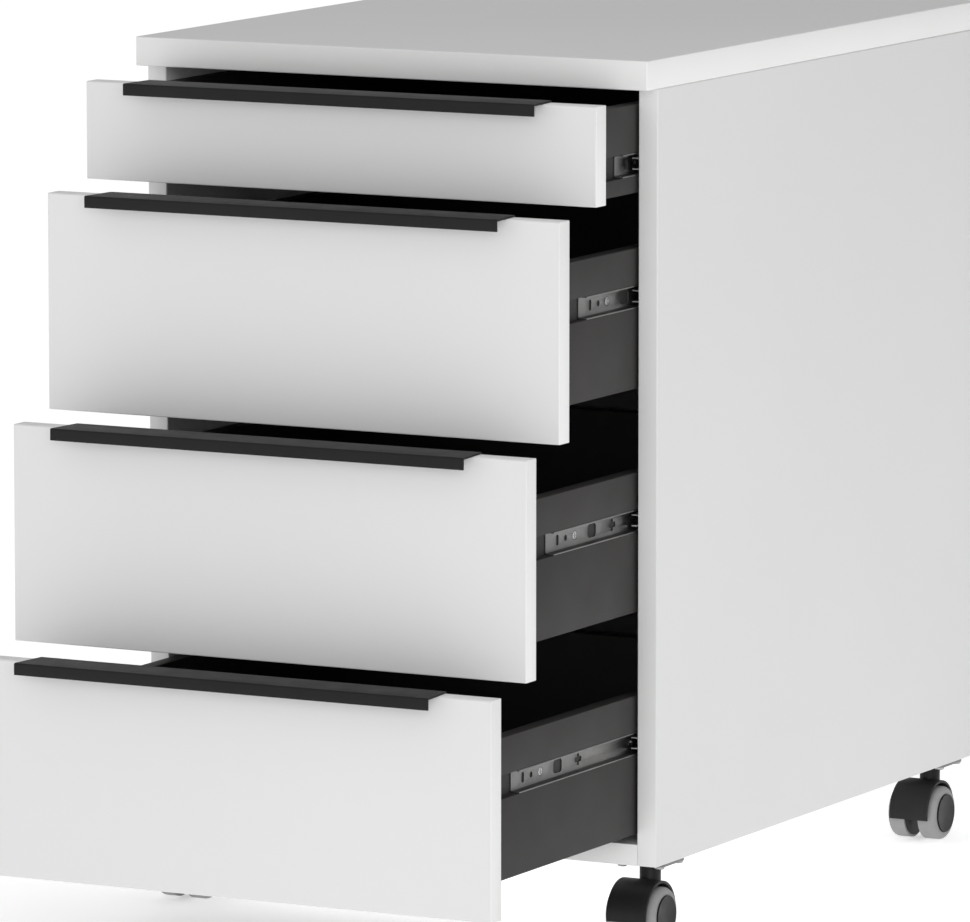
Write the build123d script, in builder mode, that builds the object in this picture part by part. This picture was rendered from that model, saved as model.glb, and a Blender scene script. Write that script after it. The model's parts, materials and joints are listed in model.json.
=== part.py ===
from build123d import *
import os

os.makedirs("parts", exist_ok=True)

# Rolling pedestal cabinet: a board carcass with four drawers on ball-bearing runners, standing on
# four twin-wheel swivel casters. Millimetres, +Z up, +X to the right of a person facing the fronts,
# +Y towards the back. The origin is on the floor, under the middle of the cabinet with its drawers
# pulled out by drawer_openings.

# ---------------------------------------------------------------- carcass
cabinet_width = 430.0
carcass_depth = 562.0
carcass_height = 600.0
side_board = 16.0
bottom_board = 16.0
top_board = 22.0
top_overhang = 18.0
back_board = 8.0
back_inset = 10.0
back_groove_depth = 8.0
groove_clearance = 0.1
edge_round = 1.0

# ---------------------------------------------------------------- fronts
front_board = 16.0
front_side_reveal = 2.0
front_gap = 5.0
front_bottom_reveal = 1.0
closed_gap = 2.0
top_front_height = 73.0
drawer_openings = [77.5, 135.0, 186.5, 240.5]
drawer_travel = 350.0

# ---------------------------------------------------------------- edge pulls
pull_sheet = 1.5
pull_length = 342.4
pull_reach = 17.6
pull_lip_drop = 7.4
pull_end_taper = 3.3
pull_back_leg = 22.0
pull_bend_round = 0.8

# ---------------------------------------------------------------- drawer boxes
wall_board = 12.0
wall_side_clearance = 2.0
box_length = 500.0
floor_board = 4.0
floor_lift = 6.0
floor_groove_depth = 6.0
shallow_wall_height = 65.0
shallow_wall_lift = 1.0
shallow_runner_lift = 21.0
shallow_fixing_lifts = (40.0, 56.0)
deep_wall_height = 104.0
deep_wall_lift = 22.5
deep_runner_lift = 68.0
deep_fixing_lifts = (22.0, 46.0, 91.0)

# ---------------------------------------------------------------- runners
runner_height = 17.0
runner_depth = 8.0
runner_steel = 1.0
runner_groove_clearance = 0.15
runner_setback = 58.5
drawer_member_length = 400.0
stop_slot_spot = 18.6
stop_slot_size = (8.0, 4.0)
rivet_hole_spot = 31.6
rivet_hole_radius = 2.2
latch_window_spot = 73.4
latch_window_size = (13.6, 10.0)
latch_window_corner = 3.0
cross_slot_spot = 106.0
cross_slot_sizes = ((11.0, 4.0), (9.0, 3.0))
long_slot_spots = (240.0, 310.0)
long_slot_size = (12.0, 4.5)
cabinet_member_length = 450.0
cabinet_member_inset = 3.0
cabinet_member_height = 9.0
cabinet_member_reach = 6.6
cage_length = 95.0
cage_sheet = 0.8
cage_web_gap = 0.6
cage_flange_reach = 5.1
ball_gap = 0.3
balls_per_row = 5
ball_hole_clearance = 0.05

# ---------------------------------------------------------------- fasteners
fit = 0.05
screw_shank = 3.6
screw_head = 6.6
screw_length = 12.0
runner_screw_length = 3.4
member_screw_spots = (46.2, 190.0, 370.0)
cabinet_screw_spots = (35.0, 227.0, 419.0)
pull_screw_spread = 140.0
front_pin_radius = 2.5
front_pin_in_front = 10.0
front_pin_in_wall = 24.0
cam_radius = 7.5
cam_depth = 12.5
cam_reach = 34.0
cam_bolt_radius = 3.5
cam_bolt_in_board = 11.0
cam_rows = (80.0, 440.0)
dowel_radius = 4.0
dowel_in_board = 11.0
dowel_in_edge = 22.0
dowel_spacing = 32.0

# ---------------------------------------------------------------- casters
wheel_radius = 21.0
caster_headroom = 18.0
caster_side_inset = 22.0
caster_front_inset = 34.0
caster_rear_inset = 37.0
caster_trail = 15.0
plate_size = 40.0
plate_thickness = 2.5
plate_corner = 5.0
plate_screw_spacing = 31.0
plate_screw_shank = 4.0
plate_hole_clearance = 0.2
plate_screw_head = 7.5
plate_screw_head_height = 2.0
plate_screw_depth = 12.0
raceway_radius = 8.5
raceway_height = 2.0
swivel_gap = 0.3
king_pin_radius = 4.0
king_pin_length = 11.0
boss_radius = 8.0
boss_depth = 20.0
tyre_thickness = 6.0
wheel_inner_face = 4.9
tyre_outer_face = 20.5
tyre_shoulder = 4.0
hub_outer_face = 21.7
hub_round = 1.2
hub_flange = 0.9
hub_flange_radius = 19.2
axle_radius = 3.0
axle_half_length = 16.0
web_half_thickness = 4.0
hood_half_width = 16.2
hood_clearance = 2.6
hood_wall = 2.0
hood_front_drop = 5.5
hood_back_drop = -4.0
axle_eye_radius = 7.0
# The seam of a tyre is turned off the lowest point, so that a meshed tyre stands on a flat, not on a corner.
seam_turn = 1.5

# ---------------------------------------------------------------- places worked out from the sizes
half_width = cabinet_width / 2
inner_x = half_width - side_board
reach_in_front = closed_gap + max(drawer_openings) + front_board + pull_reach
front_plane = (reach_in_front - carcass_depth) / 2
rear_plane = front_plane + carcass_depth
caster_height = 2 * wheel_radius + caster_headroom
carcass_bottom = caster_height
top_underside = carcass_bottom + carcass_height - top_board
back_rear_face = rear_plane - back_inset
back_front_face = back_rear_face - back_board

front_half = half_width - front_side_reveal
front_room = carcass_height - top_board - front_bottom_reveal
deep_drawers = len(drawer_openings) - 1
deep_front_height = (front_room - top_front_height - front_gap * len(drawer_openings)) / deep_drawers
front_heights = [top_front_height] + [deep_front_height] * deep_drawers

wall_outer = inner_x - wall_side_clearance
wall_inner = wall_outer - wall_board
groove_floor = wall_outer - runner_depth
member_web = groove_floor + runner_steel
cage_web = member_web + cage_web_gap
half_cabinet_member = cabinet_member_height / 2
half_member_inside = runner_height / 2 - runner_steel
ball_row = (half_cabinet_member + half_member_inside) / 2
ball_radius = (half_member_inside - half_cabinet_member) / 2 - ball_gap
ball_x = (inner_x - cabinet_member_reach + inner_x - runner_steel) / 2
member_end_when_open = runner_setback - closed_gap + drawer_member_length - drawer_travel
cage_shut_centre = (cabinet_member_inset + member_end_when_open) / 2 + drawer_travel / 2

caster_x = half_width - caster_side_inset
caster_spots = {
    "front_left": (-caster_x, front_plane + caster_front_inset),
    "front_right": (caster_x, front_plane + caster_front_inset),
    "rear_left": (-caster_x, rear_plane - caster_rear_inset),
    "rear_right": (caster_x, rear_plane - caster_rear_inset),
}
plate_underside = caster_height - plate_thickness
boss_top = plate_underside - raceway_height - swivel_gap
hood_radius = wheel_radius + hood_clearance + hood_wall
rim_radius = wheel_radius - tyre_thickness


def save(part, name):
    """Label a finished piece and write it as its own STEP file."""
    part.label = name
    export_step(part, f"parts/{name}.step")


def slab(x_range, y_range, z_range, mode=Mode.ADD):
    """Add or cut a rectangular board between three pairs of limits, in the part being built."""
    centre = ((x_range[0] + x_range[1]) / 2, (y_range[0] + y_range[1]) / 2)
    with BuildSketch(Plane.XY.offset(z_range[0])) as outline:
        with Locations(centre):
            Rectangle(x_range[1] - x_range[0], y_range[1] - y_range[0])
    extrude(outline.sketch, amount=z_range[1] - z_range[0], mode=mode)


def rods(axis_name, start, end, spots, radius, mode=Mode.ADD):
    """Draw or cut round rods along X, Y or Z between two levels, one at each spot."""
    planes = {
        "x": Plane.YZ.offset(start),
        "y": Plane.XZ.offset(-end),
        "z": Plane.XY.offset(start),
    }
    with BuildSketch(planes[axis_name]) as circles:
        with Locations(*spots):
            Circle(radius)
    extrude(circles.sketch, amount=end - start, mode=mode)


# ================================================================ carcass boards
caster_screw_offsets = [
    (sx * plate_screw_spacing / 2, sy * plate_screw_spacing / 2) for sx in (-1, 1) for sy in (-1, 1)
]
caster_screw_spots = [
    (x + dx, y + dy) for x, y in caster_spots.values() for dx, dy in caster_screw_offsets
]
cam_ys = [front_plane + row for row in cam_rows]
dowel_ys = [y + dowel_spacing for y in cam_ys]
side_mid_x = inner_x + side_board / 2
top_cam_z = top_underside - cam_reach
bottom_cam_x = inner_x - cam_reach
bottom_mid_z = carcass_bottom + bottom_board / 2

front_tops = []
level = top_underside - front_gap
for height in front_heights:
    front_tops.append(level)
    level = level - height - front_gap

wall_lifts = [shallow_wall_lift] + [deep_wall_lift] * deep_drawers
wall_heights = [shallow_wall_height] + [deep_wall_height] * deep_drawers
runner_lifts = [shallow_runner_lift] + [deep_runner_lift] * deep_drawers
fixing_lifts = [shallow_fixing_lifts] + [deep_fixing_lifts] * deep_drawers
wall_bottoms = [top - height + lift for top, height, lift in zip(front_tops, front_heights, wall_lifts)]
runner_levels = [bottom + lift for bottom, lift in zip(wall_bottoms, runner_lifts)]

with BuildPart() as top_panel:
    slab(
        (-half_width, half_width),
        (front_plane - top_overhang, rear_plane),
        (top_underside, top_underside + top_board),
    )
    fillet(top_panel.edges().filter_by(Axis.Z), edge_round)
    fillet(top_panel.faces().sort_by(Axis.Z)[-1].edges(), edge_round / 2)
    top_bolt_spots = [(side * side_mid_x, y) for side in (-1, 1) for y in cam_ys]
    top_dowel_spots = [(side * side_mid_x, y) for side in (-1, 1) for y in dowel_ys]
    rods("z", top_underside, top_underside + cam_bolt_in_board + fit, top_bolt_spots,
         cam_bolt_radius + fit, Mode.SUBTRACT)
    rods("z", top_underside, top_underside + dowel_in_board + fit, top_dowel_spots,
         dowel_radius + fit, Mode.SUBTRACT)
save(top_panel.part, "top_panel")

for side, side_name in ((-1, "left"), (1, "right")):
    inner_face = side * inner_x
    outer_face = side * half_width
    with BuildPart() as side_panel:
        slab(sorted((inner_face, outer_face)), (front_plane, rear_plane), (carcass_bottom, top_underside))
        fillet(side_panel.edges().filter_by(Axis.Z).sort_by(Axis.Y)[:2], edge_round)
        slab(
            sorted((inner_face, inner_face + side * back_groove_depth)),
            (back_front_face - groove_clearance, back_rear_face + groove_clearance),
            (carcass_bottom, top_underside),
            Mode.SUBTRACT,
        )
        cam_pocket = sorted((inner_face, inner_face + side * cam_depth))
        rods("x", cam_pocket[0], cam_pocket[1], [(y, top_cam_z) for y in cam_ys],
             cam_radius + fit, Mode.SUBTRACT)
        rods("z", top_cam_z, top_underside, [(side * side_mid_x, y) for y in cam_ys],
             cam_bolt_radius + fit, Mode.SUBTRACT)
        rods("z", top_underside - dowel_in_edge - fit, top_underside,
             [(side * side_mid_x, y) for y in dowel_ys], dowel_radius + fit, Mode.SUBTRACT)
        bolt_pocket = sorted((inner_face, inner_face + side * (cam_bolt_in_board + fit)))
        rods("x", bolt_pocket[0], bolt_pocket[1], [(y, bottom_mid_z) for y in cam_ys],
             cam_bolt_radius + fit, Mode.SUBTRACT)
        rods("x", bolt_pocket[0], bolt_pocket[1], [(y, bottom_mid_z) for y in dowel_ys],
             dowel_radius + fit, Mode.SUBTRACT)
        screw_pocket = sorted((inner_face, inner_face + side * (screw_length + fit)))
        screw_ys = [front_plane + cabinet_member_inset + spot for spot in cabinet_screw_spots]
        rods("x", screw_pocket[0], screw_pocket[1], [(y, z) for y in screw_ys for z in runner_levels],
             screw_shank / 2 + fit, Mode.SUBTRACT)
        edge_spots = [spot for spot in caster_screw_spots if abs(spot[0]) > inner_x and spot[0] * side > 0]
        if edge_spots:
            rods("z", carcass_bottom, carcass_bottom + plate_screw_depth + fit, edge_spots,
                 plate_screw_shank / 2 + fit, Mode.SUBTRACT)
    save(side_panel.part, f"side_panel_{side_name}")

with BuildPart() as bottom_panel:
    slab(
        (-inner_x, inner_x),
        (front_plane, back_front_face),
        (carcass_bottom, carcass_bottom + bottom_board),
    )
    under_spots = [spot for spot in caster_screw_spots if abs(spot[0]) < inner_x and spot[1] < back_front_face]
    rods("z", carcass_bottom, carcass_bottom + plate_screw_depth + fit, under_spots,
         plate_screw_shank / 2 + fit, Mode.SUBTRACT)
    rods("z", carcass_bottom, carcass_bottom + cam_depth,
         [(side * bottom_cam_x, y) for side in (-1, 1) for y in cam_ys], cam_radius + fit, Mode.SUBTRACT)
    for side in (-1, 1):
        bolt_run = sorted((side * bottom_cam_x, side * inner_x))
        rods("x", bolt_run[0], bolt_run[1], [(y, bottom_mid_z) for y in cam_ys],
             cam_bolt_radius + fit, Mode.SUBTRACT)
        dowel_run = sorted((side * (inner_x - dowel_in_edge - fit), side * inner_x))
        rods("x", dowel_run[0], dowel_run[1], [(y, bottom_mid_z) for y in dowel_ys],
             dowel_radius + fit, Mode.SUBTRACT)
save(bottom_panel.part, "bottom_panel")

with BuildPart() as back_panel:
    back_half = inner_x + back_groove_depth - groove_clearance
    slab((-back_half, back_half), (back_front_face, back_rear_face), (carcass_bottom, top_underside))
save(back_panel.part, "back_panel")

# ================================================================ carcass fittings
with BuildPart() as cam_fittings:
    for side in (-1, 1):
        cam_run = sorted((side * (inner_x + fit), side * (inner_x + cam_depth - fit)))
        rods("x", cam_run[0], cam_run[1], [(y, top_cam_z) for y in cam_ys], cam_radius)
        rods("z", top_cam_z, top_cam_z + cam_radius + fit, [(side * side_mid_x, y) for y in cam_ys],
             cam_bolt_radius + fit, Mode.SUBTRACT)
    bottom_cam_spots = [(side * bottom_cam_x, y) for side in (-1, 1) for y in cam_ys]
    rods("z", carcass_bottom + fit, carcass_bottom + cam_depth - fit, bottom_cam_spots, cam_radius)
    for side in (-1, 1):
        notch_run = sorted((side * bottom_cam_x, side * (bottom_cam_x + cam_radius + fit)))
        rods("x", notch_run[0], notch_run[1], [(y, bottom_mid_z) for y in cam_ys],
             cam_bolt_radius + fit, Mode.SUBTRACT)
        rods("z", top_cam_z + fit, top_underside + cam_bolt_in_board, [(side * side_mid_x, y) for y in cam_ys],
             cam_bolt_radius)
        bolt_run = sorted((side * (bottom_cam_x + fit), side * (inner_x + cam_bolt_in_board)))
        rods("x", bolt_run[0], bolt_run[1], [(y, bottom_mid_z) for y in cam_ys], cam_bolt_radius)
save(cam_fittings.part, "cam_fittings")

with BuildPart() as dowels:
    for side in (-1, 1):
        rods("z", top_underside - dowel_in_edge, top_underside + dowel_in_board,
             [(side * side_mid_x, y) for y in dowel_ys], dowel_radius)
        dowel_run = sorted((side * (inner_x - dowel_in_edge), side * (inner_x + dowel_in_board)))
        rods("x", dowel_run[0], dowel_run[1], [(y, bottom_mid_z) for y in dowel_ys], dowel_radius)
save(dowels.part, "dowels")

# ================================================================ cabinet halves of the runners
cabinet_start = front_plane + cabinet_member_inset
cabinet_end = cabinet_start + cabinet_member_length

for side, side_name in ((-1, "left"), (1, "right")):
    web_centre = side * (inner_x - runner_steel / 2)
    flange_centre = side * (inner_x - cabinet_member_reach / 2)
    with BuildPart() as cabinet_runners:
        with BuildSketch(Plane.XZ.offset(-cabinet_end)):
            with Locations(*[(web_centre, z) for z in runner_levels]):
                Rectangle(runner_steel, cabinet_member_height)
            flange_level = half_cabinet_member - runner_steel / 2
            with Locations(*[(flange_centre, z + up * flange_level) for z in runner_levels for up in (-1, 1)]):
                Rectangle(cabinet_member_reach, runner_steel)
        extrude(amount=cabinet_member_length)
        web_run = sorted((side * (inner_x - runner_steel), side * inner_x))
        screw_ys = [cabinet_start + spot for spot in cabinet_screw_spots]
        rods("x", web_run[0], web_run[1], [(y, z) for y in screw_ys for z in runner_levels],
             screw_head / 2 + fit, Mode.SUBTRACT)
    save(cabinet_runners.part, f"cabinet_runners_{side_name}")

with BuildPart() as cabinet_runner_screws:
    for side in (-1, 1):
        head_run = sorted((side * (inner_x - runner_steel), side * inner_x))
        shank_run = sorted((side * inner_x, side * (inner_x + screw_length)))
        spots = [(cabinet_start + spot, z) for spot in cabinet_screw_spots for z in runner_levels]
        rods("x", head_run[0], head_run[1], spots, screw_head / 2)
        rods("x", shank_run[0], shank_run[1], spots, screw_shank / 2)
save(cabinet_runner_screws.part, "cabinet_runner_screws")


# ================================================================ drawers
def drawer_front(top, height, back_face, screw_spots, pin_spots):
    """The white front board, with pilot holes for the pull's screws and the box's pins."""
    with BuildPart() as front:
        slab((-front_half, front_half), (back_face - front_board, back_face), (top - height, top))
        fillet(front.faces().sort_by(Axis.Y)[0].edges(), edge_round)
        rods("y", back_face - screw_length - fit, back_face, screw_spots,
             screw_shank / 2 + fit, Mode.SUBTRACT)
        rods("y", back_face - front_pin_in_front - fit, back_face, pin_spots,
             front_pin_radius + fit, Mode.SUBTRACT)
    return front.part


def edge_pull(top, back_face, screw_spots):
    """The folded sheet pull: a leg behind the front, a plate over its top edge and a lip in front."""
    face = back_face - front_board
    lip = face - pull_reach
    with BuildPart() as pull:
        with BuildSketch(Plane.YZ.offset(-pull_length / 2)) as profile:
            with BuildLine():
                Polyline(
                    (back_face + pull_sheet, top - pull_back_leg),
                    (back_face + pull_sheet, top + pull_sheet),
                    (lip, top + pull_sheet),
                    (lip, top - pull_lip_drop),
                    (lip + pull_sheet, top - pull_lip_drop),
                    (lip + pull_sheet, top),
                    (back_face, top),
                    (back_face, top - pull_back_leg),
                    close=True,
                )
            make_face()
            outer_bends = [v for v in profile.vertices() if v.Y > top + pull_sheet / 2]
            fillet(outer_bends, pull_bend_round)
        extrude(amount=pull_length)
        with BuildSketch(Plane.XY.offset(top - pull_back_leg)):
            for end in (-1, 1):
                with BuildLine():
                    Polyline(
                        (end * pull_length / 2, lip),
                        (end * (pull_length / 2 - pull_end_taper), back_face + pull_sheet),
                        (end * pull_length / 2, back_face + pull_sheet),
                        close=True,
                    )
                make_face()
        extrude(amount=pull_back_leg + pull_sheet, mode=Mode.SUBTRACT)
        rods("y", back_face, back_face + pull_sheet, screw_spots, screw_shank / 2 + fit, Mode.SUBTRACT)
    return pull.part


for index, opening in enumerate(drawer_openings):
    number = index + 1
    top = front_tops[index]
    height = front_heights[index]
    back_face = front_plane - closed_gap - opening
    box_end = back_face + box_length
    wall_bottom = wall_bottoms[index]
    wall_top = wall_bottom + wall_heights[index]
    floor_bottom = wall_bottom + floor_lift
    floor_top = floor_bottom + floor_board
    runner_z = runner_levels[index]
    member_start = back_face + runner_setback
    member_end = member_start + drawer_member_length
    pull_screw_z = top - pull_back_leg / 2
    pull_screw_spots = [(-pull_screw_spread, pull_screw_z), (0, pull_screw_z), (pull_screw_spread, pull_screw_z)]
    pin_x = wall_inner + wall_board - front_pin_radius * 2
    fixing_levels = [wall_bottom + lift for lift in fixing_lifts[index]]
    member_screw_ys = [member_start + spot for spot in member_screw_spots]
    box_screw_y = box_end - wall_board / 2

    front_pin_spots = [(side * pin_x, z) for side in (-1, 1) for z in fixing_levels]

    save(drawer_front(top, height, back_face, pull_screw_spots, front_pin_spots), f"drawer_{number}_front")
    save(edge_pull(top, back_face, pull_screw_spots), f"drawer_{number}_pull")

    with BuildPart() as walls:
        slab((wall_inner, wall_outer), (back_face, box_end), (wall_bottom, wall_top))
        slab(
            (groove_floor, wall_outer),
            (back_face, box_end),
            (runner_z - runner_height / 2 - runner_groove_clearance,
             runner_z + runner_height / 2 + runner_groove_clearance),
            Mode.SUBTRACT,
        )
        slab(
            (wall_inner, wall_inner + floor_groove_depth + groove_clearance),
            (back_face, box_end),
            (floor_bottom - groove_clearance, floor_top + groove_clearance),
            Mode.SUBTRACT,
        )
        rods("x", groove_floor - runner_screw_length - fit, groove_floor,
             [(y, runner_z) for y in member_screw_ys], screw_shank / 2 + fit, Mode.SUBTRACT)
        rods("x", wall_inner, wall_outer, [(box_screw_y, z) for z in fixing_levels],
             screw_shank / 2 + fit, Mode.SUBTRACT)
        rods("x", wall_outer - screw_shank / 2, wall_outer, [(box_screw_y, z) for z in fixing_levels],
             screw_head / 2 + fit, Mode.SUBTRACT)
        rods("y", back_face, back_face + front_pin_in_wall + fit, [(pin_x, z) for z in fixing_levels],
             front_pin_radius + fit, Mode.SUBTRACT)
        mirror(about=Plane.YZ)
    save(walls.part, f"drawer_{number}_side_walls")

    with BuildPart() as box_back:
        slab((-wall_inner, wall_inner), (box_end - wall_board, box_end), (floor_top, wall_top))
        for side in (-1, 1):
            screw_run = sorted((side * (wall_inner - screw_length - fit), side * wall_inner))
            rods("x", screw_run[0], screw_run[1], [(box_screw_y, z) for z in fixing_levels],
                 screw_shank / 2 + fit, Mode.SUBTRACT)
    save(box_back.part, f"drawer_{number}_back_wall")

    with BuildPart() as box_floor:
        floor_half = wall_inner + floor_groove_depth
        slab((-floor_half, floor_half), (back_face, box_end), (floor_bottom, floor_top))
    save(box_floor.part, f"drawer_{number}_floor")

    with BuildPart() as members:
        with BuildSketch(Plane.XZ.offset(-member_end)) as channel:
            with Locations(((groove_floor + wall_outer) / 2, runner_z)):
                Rectangle(runner_depth, runner_height)
            fillet(channel.vertices().sort_by(Axis.X)[:2], runner_steel)
            with Locations(((member_web + wall_outer) / 2, runner_z)):
                Rectangle(runner_depth - runner_steel, runner_height - 2 * runner_steel, mode=Mode.SUBTRACT)
        extrude(amount=drawer_member_length)
        rods("x", groove_floor, member_web, [(y, runner_z) for y in member_screw_ys],
             screw_head / 2 + fit, Mode.SUBTRACT)
        with BuildSketch(Plane.YZ.offset(groove_floor)):
            with Locations((member_start + stop_slot_spot, runner_z)):
                SlotOverall(*stop_slot_size, rotation=90)
            with Locations((member_start + rivet_hole_spot, runner_z)):
                Circle(rivet_hole_radius)
            with Locations((member_start + latch_window_spot, runner_z)):
                RectangleRounded(*latch_window_size, latch_window_corner)
            with Locations((member_start + cross_slot_spot, runner_z)):
                SlotOverall(*cross_slot_sizes[0])
                SlotOverall(*cross_slot_sizes[1], rotation=90)
            with Locations(*[(member_start + spot, runner_z) for spot in long_slot_spots]):
                SlotOverall(*long_slot_size)
        extrude(amount=runner_steel, mode=Mode.SUBTRACT)
        mirror(about=Plane.YZ)
    save(members.part, f"drawer_{number}_runners")

    cage_centre = front_plane + cage_shut_centre - opening / 2
    cage_start = cage_centre - cage_length / 2
    ball_pitch = cage_length / balls_per_row
    ball_ys = [cage_start + ball_pitch * (spot + 0.5) for spot in range(balls_per_row)]
    with BuildPart() as cages:
        with BuildSketch(Plane.XZ.offset(-(cage_start + cage_length))):
            cage_mid = cage_web + cage_flange_reach / 2
            with Locations((cage_mid, runner_z)):
                Rectangle(cage_flange_reach, 2 * ball_row + cage_sheet)
            with Locations((cage_mid + cage_sheet, runner_z)):
                Rectangle(cage_flange_reach, 2 * ball_row - cage_sheet, mode=Mode.SUBTRACT)
        extrude(amount=cage_length)
        rods("z", runner_z - ball_row - cage_sheet, runner_z + ball_row + cage_sheet,
             [(ball_x, y) for y in ball_ys], ball_radius + ball_hole_clearance, Mode.SUBTRACT)
        with Locations(*[(ball_x, y, runner_z + up * ball_row) for y in ball_ys for up in (-1, 1)]):
            Sphere(ball_radius)
        mirror(about=Plane.YZ)
    save(cages.part, f"drawer_{number}_ball_cages")

    with BuildPart() as fasteners:
        rods("x", groove_floor, member_web, [(y, runner_z) for y in member_screw_ys], screw_head / 2)
        rods("x", groove_floor - runner_screw_length, groove_floor, [(y, runner_z) for y in member_screw_ys],
             screw_shank / 2)
        rods("x", wall_outer - screw_shank / 2, wall_outer, [(box_screw_y, z) for z in fixing_levels],
             screw_head / 2)
        rods("x", wall_inner - screw_length, wall_outer - screw_shank / 2,
             [(box_screw_y, z) for z in fixing_levels], screw_shank / 2)
        rods("y", back_face - front_pin_in_front, back_face + front_pin_in_wall,
             [(pin_x, z) for z in fixing_levels], front_pin_radius)
        mirror(about=Plane.YZ)
        rods("y", back_face - screw_length, back_face + pull_sheet, pull_screw_spots, screw_shank / 2)
        rods("y", back_face + pull_sheet, back_face + pull_sheet + screw_shank / 2, pull_screw_spots,
             screw_head / 2)
    save(fasteners.part, f"drawer_{number}_fasteners")

# ================================================================ casters
with BuildPart() as caster_plates:
    with BuildSketch(Plane.XY.offset(plate_underside)):
        with Locations(*caster_spots.values()):
            RectangleRounded(plate_size, plate_size, plate_corner)
    extrude(amount=plate_thickness)
    rods("z", plate_underside, caster_height, caster_screw_spots, plate_screw_shank / 2 + plate_hole_clearance,
         Mode.SUBTRACT)
    rods("z", plate_underside - raceway_height, plate_underside, list(caster_spots.values()), raceway_radius)
    rods("z", plate_underside - raceway_height - king_pin_length, plate_underside,
         list(caster_spots.values()), king_pin_radius)
save(caster_plates.part, "caster_plates")

with BuildPart() as caster_screws:
    rods("z", plate_underside - plate_screw_head_height, plate_underside, caster_screw_spots,
         plate_screw_head / 2)
    fillet(caster_screws.faces().group_by(Axis.Z)[0].edges(), plate_screw_head_height / 2)
    rods("z", plate_underside, carcass_bottom + plate_screw_depth, caster_screw_spots, plate_screw_shank / 2)
save(caster_screws.part, "caster_screws")

for spot_name, (swivel_x, swivel_y) in caster_spots.items():
    axle_y = swivel_y - caster_trail
    axle_z = wheel_radius
    wheel_plane = Plane(origin=(swivel_x, axle_y, axle_z), x_dir=(1, 0, 0), z_dir=(0, -1, 0))
    axle_line = Axis((swivel_x, axle_y, axle_z), (1, 0, 0))

    with BuildPart() as housing:
        with BuildSketch(Plane.YZ.offset(swivel_x - hood_half_width)):
            with Locations((axle_y, axle_z)):
                Circle(hood_radius)
            with BuildLine():
                Polyline(
                    (axle_y - 2 * hood_radius, axle_z - hood_front_drop),
                    (axle_y + 2 * hood_radius, axle_z - hood_back_drop),
                    (axle_y + 2 * hood_radius, axle_z - 2 * hood_radius),
                    (axle_y - 2 * hood_radius, axle_z - 2 * hood_radius),
                    close=True,
                )
            make_face(mode=Mode.SUBTRACT)
        extrude(amount=2 * hood_half_width)
        rods("z", boss_top - boss_depth, boss_top, [(swivel_x, swivel_y)], boss_radius)
        for side in (-1, 1):
            pocket = sorted((swivel_x + side * web_half_thickness, swivel_x + side * 2 * hub_outer_face))
            rods("x", pocket[0], pocket[1], [(axle_y, axle_z)], wheel_radius + hood_clearance, Mode.SUBTRACT)
        rods("x", swivel_x - web_half_thickness, swivel_x + web_half_thickness, [(axle_y, axle_z)],
             axle_eye_radius)
        rods("x", swivel_x - hood_half_width, swivel_x + hood_half_width, [(axle_y, axle_z)],
             axle_radius + fit, Mode.SUBTRACT)
        rods("z", boss_top - king_pin_length, boss_top, [(swivel_x, swivel_y)], king_pin_radius + fit,
             Mode.SUBTRACT)
    save(housing.part, f"caster_{spot_name}_housing")

    with BuildPart() as tyres:
        with BuildSketch(wheel_plane) as tread:
            tread_start = wheel_inner_face + hub_flange + fit
            with Locations(((tread_start + tyre_outer_face) / 2, wheel_radius - tyre_thickness / 2)):
                Rectangle(tyre_outer_face - tread_start, tyre_thickness)
            fillet(tread.vertices().group_by(Axis.Y)[-1].sort_by(Axis.X)[-1], tyre_shoulder)
        revolve(axis=axle_line)
        mirror(about=Plane.YZ.offset(swivel_x))
    save(tyres.part.rotate(axle_line, seam_turn), f"caster_{spot_name}_tyres")

    with BuildPart() as hubs:
        with BuildSketch(wheel_plane) as disc:
            with Locations(((wheel_inner_face + hub_outer_face) / 2, (rim_radius - fit) / 2)):
                Rectangle(hub_outer_face - wheel_inner_face, rim_radius - fit)
            fillet(disc.vertices().group_by(Axis.Y)[-1].sort_by(Axis.X)[-1], hub_round)
            with Locations((wheel_inner_face + hub_flange / 2, hub_flange_radius / 2)):
                Rectangle(hub_flange, hub_flange_radius)
        revolve(axis=axle_line)
        rods("x", swivel_x, swivel_x + axle_half_length + fit, [(axle_y, axle_z)], axle_radius + fit,
             Mode.SUBTRACT)
        mirror(about=Plane.YZ.offset(swivel_x))
    save(hubs.part, f"caster_{spot_name}_hubs")

    with BuildPart() as axle:
        rods("x", swivel_x - axle_half_length, swivel_x + axle_half_length, [(axle_y, axle_z)], axle_radius)
    save(axle.part, f"caster_{spot_name}_axle")
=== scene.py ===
import json
import logging
import math
from dataclasses import dataclass
from enum import Enum
from typing import Callable, Sequence

import bpy
from mathutils import Matrix, Vector


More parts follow.
